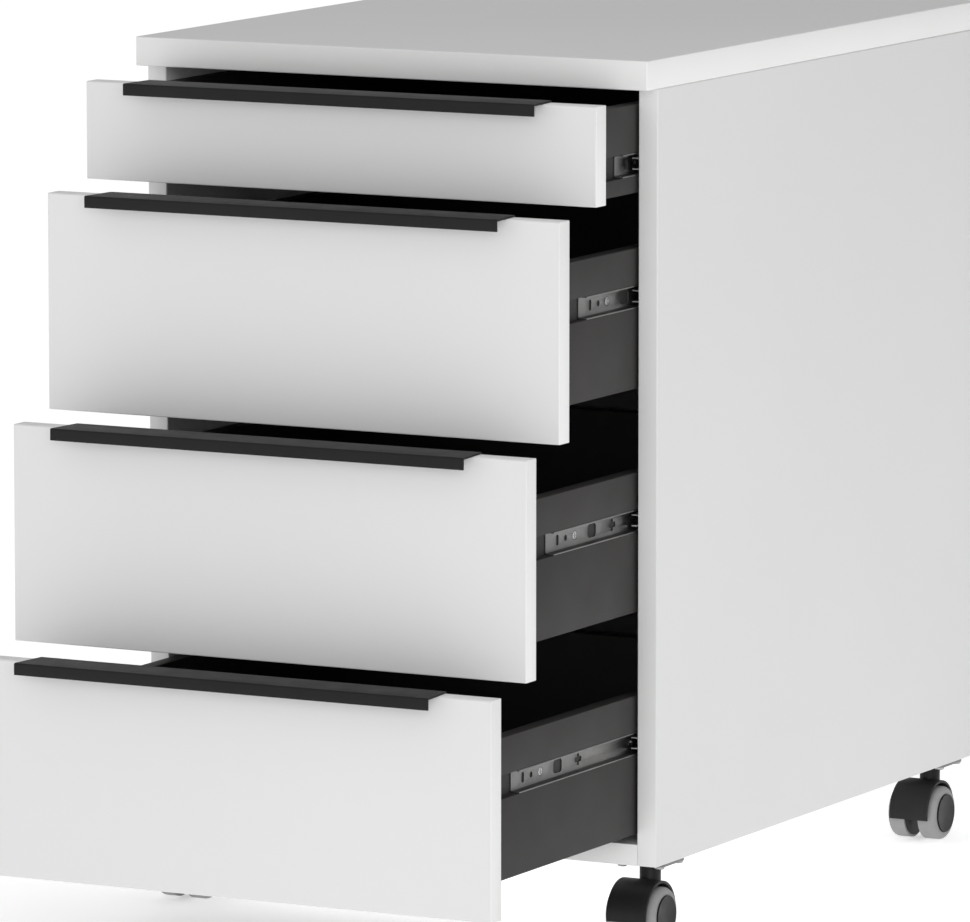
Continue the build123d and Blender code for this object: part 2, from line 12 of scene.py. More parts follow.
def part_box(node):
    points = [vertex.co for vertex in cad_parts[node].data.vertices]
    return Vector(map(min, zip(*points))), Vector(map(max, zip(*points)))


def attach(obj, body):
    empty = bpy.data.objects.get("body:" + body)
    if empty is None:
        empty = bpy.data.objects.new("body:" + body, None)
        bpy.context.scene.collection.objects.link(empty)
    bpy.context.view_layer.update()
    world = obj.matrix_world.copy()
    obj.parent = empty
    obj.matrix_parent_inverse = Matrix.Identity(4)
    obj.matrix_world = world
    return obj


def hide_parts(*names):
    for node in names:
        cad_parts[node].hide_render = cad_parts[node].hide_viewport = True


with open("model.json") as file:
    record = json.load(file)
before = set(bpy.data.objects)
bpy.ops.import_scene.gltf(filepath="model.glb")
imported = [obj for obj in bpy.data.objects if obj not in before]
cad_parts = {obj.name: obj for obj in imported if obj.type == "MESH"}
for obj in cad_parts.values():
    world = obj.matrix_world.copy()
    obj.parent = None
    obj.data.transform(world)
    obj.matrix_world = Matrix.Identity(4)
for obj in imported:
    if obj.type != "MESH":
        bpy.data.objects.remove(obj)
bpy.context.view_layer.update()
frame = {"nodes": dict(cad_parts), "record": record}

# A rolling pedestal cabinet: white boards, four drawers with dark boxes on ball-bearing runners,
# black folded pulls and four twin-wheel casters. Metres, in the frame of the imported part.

log = logging.getLogger("pedestal_cabinet")

MM = 0.001
NEAR = 1e-6  # two places closer than this are the same place
Solid = tuple[Vector, Vector]


class Run(Enum):
    """The direction that a round piece lies along, with the turn that lays a cylinder that way."""

    X = (0, (0.0, math.pi / 2, 0.0))
    Y = (1, (math.pi / 2, 0.0, 0.0))
    Z = (2, (0.0, 0.0, 0.0))

    @property
    def index(self) -> int:
        """The place of this direction in a vector."""
        return self.value[0]

    @property
    def turn(self) -> tuple[float, float, float]:
        """The rotation that lays a standing cylinder along this direction."""
        return self.value[1]


class Pick(Enum):
    """What an edit-mode selection is made of."""

    EDGES = "EDGE"
    FACES = "FACE"


class Hand(Enum):
    """The two sides of the cabinet, as the sign of X."""

    LEFT = -1
    RIGHT = 1


class Relief(Enum):
    """How the fine surface of a finish stands up."""

    GRAIN = "noise"
    PEBBLE = "pebble"
    ROLLED = "rolled"
    RINGS = "rings"


# ------------------------------------------------------------------------------------------ finishes
@dataclass(frozen=True)
class Finish:
    """A surface finish whose colour, gloss and relief all vary a little over the piece.

    Attributes:
        name: the material's name.
        slot: the record's material slot that it belongs to; not used.
        light, dark: the two colours that it wanders between.
        gloss: the lowest and highest roughness.
        metal: 1 for bare metal, 0 for anything else.
        blotch: size in metres of the slow change of colour and gloss.
        grain: size in metres of the fine relief.
        relief: the kind of fine relief.
        height: how strongly the relief tilts the light.
        coat: weight of the clear layer over it.
        mirror: strength of the surface's own reflection, 0.5 for plain plastic.
    """

    name: str
    slot: str
    light: tuple[float, float, float]
    dark: tuple[float, float, float]
    gloss: tuple[float, float]
    metal: float = 0.0
    blotch: float = 0.12
    grain: float = 0.0006
    relief: Relief = Relief.GRAIN
    height: float = 0.1
    coat: float = 0.0
    mirror: float = 0.5

    def material(self) -> bpy.types.Material:
        """Return this finish's material, made on first use."""
        made = bpy.data.materials.get(self.name)
        if made is not None:
            return made
        made = bpy.data.materials.new(self.name)
        made.use_nodes = True
        tree = made.node_tree
        shader = tree.nodes["Principled BSDF"]
        shader.inputs["Metallic"].default_value = self.metal
        shader.inputs["Coat Weight"].default_value = self.coat
        shader.inputs["Coat Roughness"].default_value = 0.25
        shader.inputs["Specular IOR Level"].default_value = self.mirror
        made.diffuse_color = (*self.light, 1.0)

        place = tree.nodes.new("ShaderNodeTexCoord")
        slow = self._noise(tree, place, 1 / self.blotch, 3.0)
        tint = tree.nodes.new("ShaderNodeValToRGB")
        tint.color_ramp.elements[0].position = 0.3
        tint.color_ramp.elements[0].color = (*self.dark, 1.0)
        tint.color_ramp.elements[1].position = 0.7
        tint.color_ramp.elements[1].color = (*self.light, 1.0)
        tree.links.new(slow.outputs["Fac"], tint.inputs["Fac"])
        tree.links.new(tint.outputs["Color"], shader.inputs["Base Color"])

        patchy = self._noise(tree, place, 2.7 / self.blotch, 5.0)
        shine = tree.nodes.new("ShaderNodeMapRange")
        shine.inputs["From Min"].default_value = 0.25
        shine.inputs["From Max"].default_value = 0.75
        shine.inputs["To Min"].default_value = self.gloss[0]
        shine.inputs["To Max"].default_value = self.gloss[1]
        tree.links.new(patchy.outputs["Fac"], shine.inputs["Value"])
        tree.links.new(shine.outputs["Result"], shader.inputs["Roughness"])

        bump = tree.nodes.new("ShaderNodeBump")
        bump.inputs["Strength"].default_value = self.height
        bump.inputs["Distance"].default_value = self.grain / 4
        tree.links.new(self._relief(tree, place), bump.inputs["Height"])
        tree.links.new(bump.outputs["Normal"], shader.inputs["Normal"])
        return made

    @staticmethod
    def _noise(tree: bpy.types.NodeTree, place: bpy.types.Node, scale: float,
               detail: float) -> bpy.types.Node:
        """Return a noise texture on the object's own coordinates."""
        noise = tree.nodes.new("ShaderNodeTexNoise")
        noise.inputs["Scale"].default_value = scale
        noise.inputs["Detail"].default_value = detail
        tree.links.new(place.outputs["Object"], noise.inputs["Vector"])
        return noise

    def _relief(self, tree: bpy.types.NodeTree, place: bpy.types.Node) -> bpy.types.NodeSocket:
        """Return the socket that carries the height of the fine relief."""
        if self.relief is Relief.GRAIN:
            return self._noise(tree, place, 1 / self.grain, 2.0).outputs["Fac"]
        if self.relief is Relief.PEBBLE:
            pebble = tree.nodes.new("ShaderNodeTexVoronoi")
            pebble.feature = "SMOOTH_F1"
            pebble.inputs["Scale"].default_value = 1 / self.grain
            tree.links.new(place.outputs["Object"], pebble.inputs["Vector"])
            return pebble.outputs["Distance"]
        stretch = tree.nodes.new("ShaderNodeMapping")
        tree.links.new(place.outputs["Object"], stretch.inputs["Vector"])
        if self.relief is Relief.ROLLED:
            stretch.inputs["Scale"].default_value = (1.0, 0.02, 1.0)
            rolled = self._noise(tree, place, 1 / self.grain, 3.0)
            tree.links.new(stretch.outputs["Vector"], rolled.inputs["Vector"])
            return rolled.outputs["Fac"]
        stretch.inputs["Scale"].default_value = (1.0, 0.15, 1.0)
        rings = tree.nodes.new("ShaderNodeTexWave")
        rings.inputs["Scale"].default_value = 1 / self.grain
        rings.inputs["Distortion"].default_value = 3.0
        tree.links.new(stretch.outputs["Vector"], rings.inputs["Vector"])
        return rings.outputs["Fac"]


WHITE_BOARD = Finish("white_melamine", "white_board", (0.765, 0.765, 0.765), (0.75, 0.75, 0.75), (0.42, 0.5),
                     blotch=0.3, grain=0.0007, relief=Relief.PEBBLE, height=0.05)
# Edge band: a real band, made lighter than the board as painted highlight on the rounded edges and to lift
# the shade on edges beside the drawers.
WHITE_EDGE_AND_PAINTED_LIGHT = Finish("white_edge_band_painted_highlight", "white_board", (0.87, 0.87, 0.865), (0.85, 0.85, 0.845), (0.34, 0.42),
                    blotch=0.2, grain=0.0012, height=0.04)
WHITE_FRONT = Finish("white_front_laminate", "white_front", (0.75, 0.75, 0.75), (0.735, 0.735, 0.735),
                     (0.36, 0.44), blotch=0.3, grain=0.0008, relief=Relief.PEBBLE, height=0.04)
DARK_FOIL = Finish("anthracite_foil", "anthracite_board", (0.037, 0.0345, 0.0335), (0.031, 0.0295, 0.0285),
                   (0.5, 0.62), blotch=0.09, grain=0.0005, relief=Relief.PEBBLE, height=0.12, mirror=0.35)
POWDER_BLACK = Finish("black_powder_coat", "black_pull", (0.008, 0.008, 0.008), (0.0065, 0.0065, 0.0065),
                      (0.5, 0.6), blotch=0.05, grain=0.00045, relief=Relief.PEBBLE, height=0.22, mirror=0.25)
ZINC = Finish("zinc_plated_sheet", "zinc_steel", (0.25, 0.245, 0.24), (0.20, 0.20, 0.20), (0.34, 0.46),
              metal=1.0, blotch=0.02, grain=0.0006, relief=Relief.ROLLED, height=0.12)
# A much lighter copy of the zinc sheet above: painted highlight for the cabinet channels, whose flange tips
# catch the light.
PAINTED_HIGHLIGHT_ZINC = Finish("zinc_sheet_painted_highlight", "zinc_steel", (0.92, 0.92, 0.92), (0.8, 0.8, 0.8), (0.22, 0.34),
                     metal=1.0, blotch=0.02, grain=0.0006, relief=Relief.ROLLED, height=0.1)
BALL_STEEL = Finish("polished_ball_steel", "ball_steel", (0.62, 0.62, 0.63), (0.5, 0.5, 0.51), (0.14, 0.24),
                    metal=1.0, blotch=0.01, grain=0.0004, height=0.05)
SCREW_ZINC = Finish("bright_zinc_screw", "fastener_steel", (0.50, 0.50, 0.51), (0.38, 0.38, 0.39),
                    (0.2, 0.34), metal=1.0, blotch=0.006, grain=0.0003, height=0.1)
CAM_ZINC = Finish("die_cast_zinc", "cam_zinc", (0.46, 0.46, 0.45), (0.36, 0.36, 0.36), (0.4, 0.55), metal=1.0,
                  blotch=0.008, grain=0.0004, relief=Relief.PEBBLE, height=0.2)
BEECH = Finish("plain_beech", "beech_dowel", (0.62, 0.43, 0.26), (0.5, 0.33, 0.19), (0.55, 0.7), blotch=0.01,
               grain=0.0016, relief=Relief.RINGS, height=0.3)
NYLON = Finish("black_moulded_nylon", "black_nylon", (0.014, 0.014, 0.0145), (0.011, 0.011, 0.0115),
               (0.4, 0.52), blotch=0.02, grain=0.0005, relief=Relief.PEBBLE, height=0.18, mirror=0.28)
TREAD = Finish("grey_soft_tread", "grey_tread", (0.33, 0.33, 0.335), (0.29, 0.29, 0.295), (0.6, 0.75),
               blotch=0.015, grain=0.0006, relief=Relief.PEBBLE, height=0.25)
AXLE_STEEL = Finish("turned_axle_steel", "axle_steel", (0.55, 0.55, 0.55), (0.45, 0.45, 0.45), (0.2, 0.3),
                    metal=1.0, blotch=0.01, grain=0.0003, height=0.08)
PALE_FLOOR = Finish("pale_studio_floor", "stage", (0.93, 0.93, 0.93), (0.92, 0.92, 0.92), (0.7, 0.8),
                    blotch=4.0, grain=0.01, height=0.02)


# ------------------------------------------------------------------------------------------ workbench
class Bench:
    """The modelling moves that the pieces share."""

    @staticmethod
    def clear() -> None:
        """Leave edit mode and select nothing."""
        if bpy.context.object is not None and bpy.context.object.mode != "OBJECT":
            bpy.ops.object.mode_set(mode="OBJECT")
        bpy.ops.object.select_all(action="DESELECT")

    @staticmethod
    def take(piece: bpy.types.Object) -> None:
        """Select this piece alone and make it active."""
        Bench.clear()
        piece.select_set(True)
        bpy.context.view_layer.objects.active = piece

    @staticmethod
    def settle(name: str) -> bpy.types.Object:
        """Name the new primitive and apply its place, turn and size to its mesh."""
        piece = bpy.context.object
        piece.name = name
        bpy.ops.object.transform_apply(location=True, rotation=True, scale=True)
        return piece

    @staticmethod
    def block(name: str, low: Sequence[float], high: Sequence[float]) -> bpy.types.Object:
        """Return a rectangular block between two corners."""
        Bench.clear()
        low, high = Vector(low), Vector(high)
        bpy.ops.mesh.primitive_cube_add(size=1.0, location=(low + high) / 2)
        bpy.context.object.scale = high - low
        return Bench.settle(name)

    @staticmethod
    def cylinder(name: str, centre: Sequence[float], radius: float, length: float, run: Run,
                 sides: int = 48) -> bpy.types.Object:
        """Return a closed cylinder centred on a point."""
        Bench.clear()
        bpy.ops.mesh.primitive_cylinder_add(vertices=sides, radius=radius, depth=length, location=centre,
                                            rotation=run.turn)
        return Bench.settle(name)

    @staticmethod
    def sheet(name: str, low: Sequence[float], high: Sequence[float], face: Run) -> bpy.types.Object:
        """Return a flat rectangle between two corners, square to one direction.

        Args:
            name: the piece's name.
            low, high: opposite corners, level in the direction that it faces.
            face: the direction that it faces, X or Z.
        """
        Bench.clear()
        low, high = Vector(low), Vector(high)
        size = high - low
        turn = (0.0, math.pi / 2, 0.0) if face is Run.X else (0.0, 0.0, 0.0)
        bpy.ops.mesh.primitive_plane_add(size=1.0, location=(low + high) / 2, rotation=turn)
        bpy.context.object.scale = (size.z if face is Run.X else size.x, size.y, 1.0)
        return Bench.settle(name)

    @staticmethod
    def pick(piece: bpy.types.Object, kind: Pick, test: Callable[[Vector, Vector], bool]) -> None:
        """Enter edit mode with only what passes the test selected.

        Args:
            piece: the piece to edit.
            kind: whether edges or faces are picked.
            test: takes an edge's two ends, or a face's centre and normal.
        """
        Bench.take(piece)
        bpy.ops.object.mode_set(mode="EDIT")
        bpy.ops.mesh.select_mode(type=kind.value)
        bpy.ops.mesh.select_all(action="DESELECT")
        bpy.ops.object.mode_set(mode="OBJECT")
        mesh = piece.data
        if kind is Pick.EDGES:
            for edge in mesh.edges:
                edge.select = test(*(mesh.vertices[end].co for end in edge.vertices))
        else:
            for face in mesh.polygons:
                face.select = test(face.center, face.normal)
        bpy.ops.object.mode_set(mode="EDIT")

    @staticmethod
    def round_edges(piece: bpy.types.Object, width: float, segments: int,
                    test: Callable[[Vector, Vector], bool]) -> None:
        """Round the edges that pass a test of their two ends."""
        Bench.pick(piece, Pick.EDGES, test)
        bpy.ops.mesh.bevel(offset=width, segments=segments, profile=0.5, affect="EDGES")
        Bench.clear()

    @staticmethod
    def pull_edge(piece: bpy.types.Object, test: Callable[[Vector, Vector], bool],
                  step: Sequence[float]) -> None:
        """Extrude the edges that pass a test by one step."""
        Bench.pick(piece, Pick.EDGES, test)
        bpy.ops.mesh.extrude_region_move(TRANSFORM_OT_translate={"value": tuple(step)})
        Bench.clear()

    @staticmethod
    def soften(piece: bpy.types.Object, width: float, segments: int = 2, angle: float = 40.0) -> None:
        """Break every edge sharper than an angle with a small rounding."""
        Bench.take(piece)
        rounding = piece.modifiers.new("soften", "BEVEL")
        rounding.width = width
        rounding.segments = segments
        rounding.limit_method = "ANGLE"
        rounding.angle_limit = math.radians(angle)
        rounding.use_clamp_overlap = True
        bpy.ops.object.modifier_apply(modifier=rounding.name)

    @staticmethod
    def carve(piece: bpy.types.Object, tool: bpy.types.Object, operation: str = "DIFFERENCE") -> None:
        """Cut a tool's shape out of a piece, or weld it on with UNION, and put the tool away."""
        Bench.take(piece)
        cut = piece.modifiers.new("carve", "BOOLEAN")
        cut.operation = operation
        cut.solver = "EXACT"
        cut.object = tool
        bpy.ops.object.modifier_apply(modifier=cut.name)
        bpy.data.objects.remove(tool)

    @staticmethod
    def thicken(piece: bpy.types.Object, thickness: float) -> None:
        """Give a folded sheet its thickness on the side that keeps it within its own outline."""
        before = Bench.size(piece)
        for offset in (-1.0, 1.0):
            trial = Bench.copy(piece, "trial")
            Bench.take(trial)
            wall = trial.modifiers.new("wall", "SOLIDIFY")
            wall.thickness = thickness
            wall.offset = offset
            wall.use_even_offset = True
            bpy.ops.object.modifier_apply(modifier=wall.name)
            grown = (Bench.size(trial) - before).length
            if grown < thickness / 2 or offset > 0:
                piece.data = trial.data
                bpy.data.objects.remove(trial)
                return
            bpy.data.objects.remove(trial)

    @staticmethod
    def size(piece: bpy.types.Object) -> Vector:
        """Return a piece's extent along X, Y and Z."""
        corners = [[vertex.co[axis] for vertex in piece.data.vertices] for axis in range(3)]
        return Vector(max(values) - min(values) for values in corners)

    @staticmethod
    def copy(piece: bpy.types.Object, name: str, shift: Sequence[float] = (0.0, 0.0, 0.0),
             mirrored: bool = False) -> bpy.types.Object:
        """Return a copy with its own mesh, mirrored to the other side of the cabinet if asked, then moved."""
        twin = piece.copy()
        twin.data = piece.data.copy()
        twin.name = name
        bpy.context.collection.objects.link(twin)
        if mirrored:
            twin.data.transform(Matrix.Scale(-1.0, 4, (1.0, 0.0, 0.0)))
            twin.data.flip_normals()
        twin.data.transform(Matrix.Translation(Vector(shift)))
        return twin

    @staticmethod
    def join(pieces: Sequence[bpy.types.Object], name: str) -> bpy.types.Object:
        """Return several pieces as one object."""
        Bench.take(pieces[0])
        for piece in pieces[1:]:
            piece.select_set(True)
        bpy.ops.object.join()
        pieces[0].name = name
        return pieces[0]

    @staticmethod
    def dress(piece: bpy.types.Object, finish: Finish, body: str, nodes: Sequence[str]) -> bpy.types.Object:
        """Smooth a piece, give it its finish and hand it to the body that carries it.

        Args:
            piece: the finished piece, in place.
            finish: the finish of the whole piece.
            body: the CAD body that it rides on.
            nodes: the CAD nodes that it stands for.

        Returns:
            The piece.
        """
        Bench.take(piece)
        bpy.ops.object.shade_smooth_by_angle(angle=math.radians(35.0))
        piece.data.materials.clear()
        piece.data.materials.append(finish.material())
        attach(piece, body)
        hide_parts(*nodes)
        log.info("%s: %d faces, rides on %s", piece.name, len(piece.data.polygons), body)
        Bench.clear()
        return piece


def solids_of(node: str) -> list[Solid]:
    """Return the box of each separate solid in a CAD node, as (lowest corner, highest corner)."""
    mesh = frame["nodes"][node].data
    keys = [tuple(round(value, 6) for value in vertex.co) for vertex in mesh.vertices]
    leader = {key: key for key in keys}

    def lead(key: tuple[float, float, float]) -> tuple[float, float, float]:
        """Follow a corner to the one that stands for its solid."""
        while leader[key] != key:
            leader[key] = leader[leader[key]]
            key = leader[key]
        return key

    for face in mesh.polygons:
        first = lead(keys[face.vertices[0]])
        for corner in face.vertices[1:]:
            leader[lead(keys[corner])] = first
    groups: dict[tuple[float, float, float], list[tuple[float, float, float]]] = {}
    for key in leader:
        groups.setdefault(lead(key), []).append(key)
    return [
        (Vector(min(column) for column in zip(*group)), Vector(max(column) for column in zip(*group)))
        for group in groups.values()
    ]


# ------------------------------------------------------------------------------------------ carcass
@dataclass
class Carcass:
    """The white boards of the case.

    Attributes:
        band_round: rounding of the banded edges.
        raw_round: rounding of the edges that nobody touches.
        pocket_slack: how much wider a cam's pocket is than the cam.
        pocket_reach: length of the tool that cuts a pocket.
        cam_thickness: cam fittings thinner than this are bolts, which need no pocket.
    """

    band_round: float = 1.0 * MM
    raw_round: float = 0.4 * MM
    pocket_slack: float = 0.25 * MM
    pocket_reach: float = 20.0 * MM
    cam_thickness: float = 12.0 * MM

    def build(self) -> None:
        """Make the five boards and dress what is let into them."""
        self._board("top_panel", self.band_round, Run.Z)
        for hand in Hand:
            self._board(f"side_panel_{hand.name.lower()}", self.band_round, Run.X)
        self._board("bottom_panel", self.raw_round, Run.Z)
        self._board("back_panel", self.raw_round, Run.Y)
        for node, finish in (("cam_fittings", CAM_ZINC), ("dowels", BEECH)):
            materials = frame["nodes"][node].data.materials
            materials.clear()
            materials.append(finish.material())

    def _board(self, node: str, rounding: float, face: Run) -> None:
        """Make one board: cut the cams' pockets, round its edges and band them in a lighter white that is
        real banding and also painted highlight on the edges.

        Args:
            node: the CAD node that it stands for.
            rounding: radius of its edges.
            face: the direction that its broad faces look in.
        """
        low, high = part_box(node)
        board = Bench.block(f"{node}_board", low, high)
        for cam_low, cam_high in solids_of("cam_fittings"):
            size = cam_high - cam_low
            middle = (cam_low + cam_high) / 2
            inside = all(low[axis] - MM < middle[axis] < high[axis] + MM for axis in range(3))
            if inside and min(size) > self.cam_thickness:
                radius = max(size) / 2 + self.pocket_slack
                outward = (Vector((-math.copysign(1.0, middle.x), 0, 0)) if face is Run.X
                           else Vector((0, 0, -1)))
                inner_end = (cam_high if outward[face.index] < 0 else cam_low)[face.index]
                centre = middle.copy()
                centre[face.index] = inner_end + outward[face.index] * self.pocket_reach / 2
                Bench.carve(board, Bench.cylinder("pocket", centre, radius, self.pocket_reach, face))
        Bench.soften(board, rounding, 3)
        Bench.dress(board, WHITE_BOARD, "carcass", (node,))
        # the narrow faces take the lighter edge white: real banding plus painted highlight
        board.data.materials.append(WHITE_EDGE_AND_PAINTED_LIGHT.material())
        for polygon in board.data.polygons:
            if abs(polygon.normal[face.index]) < 0.6:
                polygon.material_index = 1


# ------------------------------------------------------------------------------------------ screws
@dataclass
class Screw:
    """A screw with a rounded head and a cross recess.

    Attributes:
        head_radius: radius of the head.
        head_height: height of the head.
        shank_radius: radius of the shank.
        recess_width: width of each arm of the cross.
        recess_share: length of an arm as a share of the head's radius.
        dome_share: rounding of the head as a share of its height.
        sunk_share: share of the head's height that shows above the start of the shank.
    """

    head_radius: float = 3.3 * MM
    head_height: float = 1.0 * MM
    shank_radius: float = 1.8 * MM
    recess_width: float = 0.9 * MM
    recess_share: float = 0.62
    dome_share: float = 0.45
    sunk_share: float = 0.8

    def build(self, name: str, low: Vector, high: Vector, run: Run, head_first: bool) -> bpy.types.Object:
        """Return one screw that fills a box.

        Args:
            name: the piece's name.
            low, high: corners of the box that the screw fills.
            run: the direction that it lies along.
            head_first: whether the head is at the low end.

        Returns:
            The screw, undressed.
        """
        axis = run.index
        middle = (low + high) / 2
        sign = 1.0 if head_first else -1.0
        tip = low[axis] if head_first else high[axis]
        head_centre = middle.copy()
        head_centre[axis] = tip + sign * self.head_height / 2
        head = Bench.cylinder(name, head_centre, self.head_radius, self.head_height, run, 28)
        Bench.round_edges(head, self.head_height * self.dome_share, 3,
                          lambda a, b: abs(a[axis] - tip) < NEAR and abs(b[axis] - tip) < NEAR)
        self._cross(head, head_centre, tip, sign, axis)
        end = high[axis] if head_first else low[axis]
        shank_centre = middle.copy()
        shank_centre[axis] = (tip + sign * self.head_height * self.sunk_share + end) / 2
        length = abs(end - tip) - self.head_height * self.sunk_share
        shank = Bench.cylinder("shank", shank_centre, self.shank_radius, length, run, 16)
        Bench.round_edges(shank, self.shank_radius * 0.6, 1,
                          lambda a, b: abs(a[axis] - end) < NEAR and abs(b[axis] - end) < NEAR)
        return Bench.join([head, shank], name)

    def _cross(self, head: bpy.types.Object, centre: Vector, tip: float, sign: float, axis: int) -> None:
        """Cut the cross recess into a head."""
        across = [index for index in range(3) if index != axis]
        for arm in across:
            reach = Vector((0, 0, 0))
            reach[arm] = self.head_radius * self.recess_share
            reach[[index for index in across if index != arm][0]] = self.recess_width / 2
            reach[axis] = self.head_height * 0.6
            middle = centre.copy()
            middle[axis] = tip
            Bench.carve(head, Bench.block("recess", middle - reach, middle + reach))


def screw_set(node: str, name: str, body: str, screws: dict[Run, Screw],
              head_low: Callable[[Vector, Run], bool], pin_limit: float) -> bpy.types.Object:
    """Make a screw for every solid of a CAD node and join them into one piece.

    Args:
        node: the CAD node of fasteners.
        name: the piece's name.
        body: the body that carries them.
        screws: the screw used along each direction.
        head_low: tells from a screw's middle and direction whether its head is at its low end.
        pin_limit: solids thinner than this are plain pins, without a head.

    Returns:
        The joined and dressed piece.
    """
    pieces = []
    models: dict[tuple, tuple[bpy.types.Object, Vector]] = {}
    for low, high in solids_of(node):
        size = high - low
        width = sorted(size)[1]
        run = max(Run, key=lambda choice: abs(size[choice.index] - width))
        middle = (low + high) / 2
        at_low = head_low(middle, run)
        kind = (run, at_low, round(size[run.index], 5), width < pin_limit)
        if kind in models:
            model, place = models[kind]
            pieces.append(Bench.copy(model, "fastener", middle - place))
            continue
        if width < pin_limit:
            made = Bench.cylinder("fastener", middle, width / 2, size[run.index], run, 20)
            Bench.soften(made, 0.5 * MM, 1)
        else:
            made = screws[run].build("fastener", low, high, run, at_low)
        models[kind] = (made, middle)
        pieces.append(made)
    return Bench.dress(Bench.join(pieces, name), SCREW_ZINC, body, (node,))


# ------------------------------------------------------------------------------------------ runners
@dataclass(frozen=True)
class Window:
    """A rounded window stamped through a channel's web.

    Attributes:
        along: distance of its middle from the channel's front end.
        length: its size along the channel.
        height: its size across the channel.
        rounding: radius of its corners.
    """

    along: float
    length: float
    height: float
    rounding: float


STOP_SLOT = Window(18.6 * MM, 4.0 * MM, 8.0 * MM, 1.9 * MM)
LATCH_WINDOW = Window(73.4 * MM, 13.6 * MM, 10.0 * MM, 3.0 * MM)
CROSS_ALONG = Window(106.0 * MM, 11.0 * MM, 4.0 * MM, 1.9 * MM)
CROSS_UP = Window(106.0 * MM, 3.0 * MM, 9.0 * MM, 1.4 * MM)
LONG_SLOTS = [Window(along, 12.0 * MM, 4.5 * MM, 2.2 * MM) for along in (240.0 * MM, 310.0 * MM)]
RIVET_HOLE = (31.6 * MM, 2.2 * MM)
SCREW_HOLES = [(along, 3.4 * MM) for along in (46.2 * MM, 190.0 * MM, 370.0 * MM)]


@dataclass
class Runners:
    """The telescopic runners: a channel on each drawer wall and a narrower one on each side panel.

    Attributes:
        steel: thickness of the sheet.
        drawer_depth: depth of the drawer's channel.
        raceway: radius of the bends that the balls roll in.
        narrow_raceway: the same for the cabinet's channel.
        punch: length of the tools that stamp its holes.
        deburr: rounding of the sheet's cut edges.
    """

    steel: float = 1.0 * MM
    drawer_depth: float = 8.0 * MM
    raceway: float = 2.2 * MM
    narrow_raceway: float = 1.3 * MM
    punch: float = 6.0 * MM
    deburr: float = 0.15 * MM

    def build(self, count: int) -> None:
        """Make every runner of the cabinet.

        Args:
            count: how many drawers there are.
        """
        model = self._drawer_channel()
        first_low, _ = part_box("drawer_1_runners")
        for number in range(1, count + 1):
            low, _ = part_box(f"drawer_{number}_runners")
            pair = [Bench.copy(model, "channel", low - first_low, mirrored=hand is Hand.LEFT)
                    for hand in Hand]
            channels = Bench.join(pair, f"drawer_{number}_runner_channels")
            Bench.dress(channels, ZINC, f"drawer_{number}", (f"drawer_{number}_runners",))
            cages = frame["nodes"][f"drawer_{number}_ball_cages"].data.materials
            cages.clear()
            cages.append(BALL_STEEL.material())
        bpy.data.objects.remove(model)
        for hand in Hand:
            self._cabinet_channels(hand)
        flat = Screw(head_height=0.9 * MM)
        screw_set("cabinet_runner_screws", "cabinet_runner_screw_set", "carcass", {Run.X: flat},
                  lambda middle, run: middle.x > 0, 1 * MM)

    def _folded(self, name: str, web: float, tips: float, y_range: tuple[float, float],
                z_range: tuple[float, float], bend: float) -> bpy.types.Object:
        """Return a folded channel: a flat web, two flanges and rounded bends.

        Args:
            name: the piece's name.
            web: X of the web's outer skin.
            tips: X of the flanges' tips.
            y_range: where it starts and ends.
            z_range: its lowest and highest level.
            bend: radius of the bends.
        """
        low = (web, y_range[0], z_range[0])
        high = (web, y_range[1], z_range[1])
        channel = Bench.sheet(name, low, high, Run.X)
        for level in z_range:
            Bench.pull_edge(channel, lambda a, b: abs(a.z - level) < NEAR and abs(b.z - level) < NEAR
                            and abs(a.x - web) < NEAR and abs(b.x - web) < NEAR, (tips - web, 0, 0))
        Bench.round_edges(channel, bend, 5, lambda a, b: all(
            abs(end.x - web) < NEAR and min(abs(end.z - level) for level in z_range) < NEAR for end in (a, b)
        ) and abs(a.z - b.z) < NEAR)
        Bench.thicken(channel, self.steel)
        return channel

    def _drawer_channel(self) -> bpy.types.Object:
        """Return the drawer's channel for the right side, with its slots, holes and stamped windows."""
        low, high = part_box("drawer_1_runners")
        web = high.x - self.drawer_depth
        channel = self._folded("channel", web, high.x, (low.y, high.y), (low.z, high.z), self.raceway)
        level = (low.z + high.z) / 2

        for window in (STOP_SLOT, LATCH_WINDOW, CROSS_ALONG, CROSS_UP, *LONG_SLOTS):
            centre = Vector((web, low.y + window.along, level))
            half = Vector((self.punch / 2, window.length / 2, window.height / 2))
            tool = Bench.block("punch", centre - half, centre + half)
            Bench.round_edges(tool, window.rounding, 4, lambda a, b: abs(a.x - b.x) > MM)
            Bench.carve(channel, tool)
        for along, radius in (RIVET_HOLE, *SCREW_HOLES):
            hole = Bench.cylinder("drill", (web, low.y + along, level), radius, self.punch, Run.X, 32)
            Bench.carve(channel, hole)
        Bench.soften(channel, self.deburr, 2)
        return channel

    def _cabinet_channels(self, hand: Hand) -> None:
        """Make the four channels on one side panel.

        Args:
            hand: the side that they are on.
        """
        node = f"cabinet_runners_{hand.name.lower()}"
        channels = []
        for low, high in solids_of(node):
            web, tips = (high.x, low.x) if hand is Hand.RIGHT else (low.x, high.x)
            if channels:
                first = channels[0]
                shift = low.z - min(vertex.co.z for vertex in first.data.vertices)
                channels.append(Bench.copy(first, "narrow_channel", (0, 0, shift)))
                continue
            channel = self._folded("narrow_channel", web, tips, (low.y, high.y), (low.z, high.z),
                                   self.narrow_raceway)
            Bench.soften(channel, self.deburr, 2)
            channels.append(channel)
        joined = Bench.join(channels, f"{node}_channels")
        # the cabinet's channels take the lighter zinc copy, which is painted highlight
        Bench.dress(joined, PAINTED_HIGHLIGHT_ZINC, "carcass", (node,))


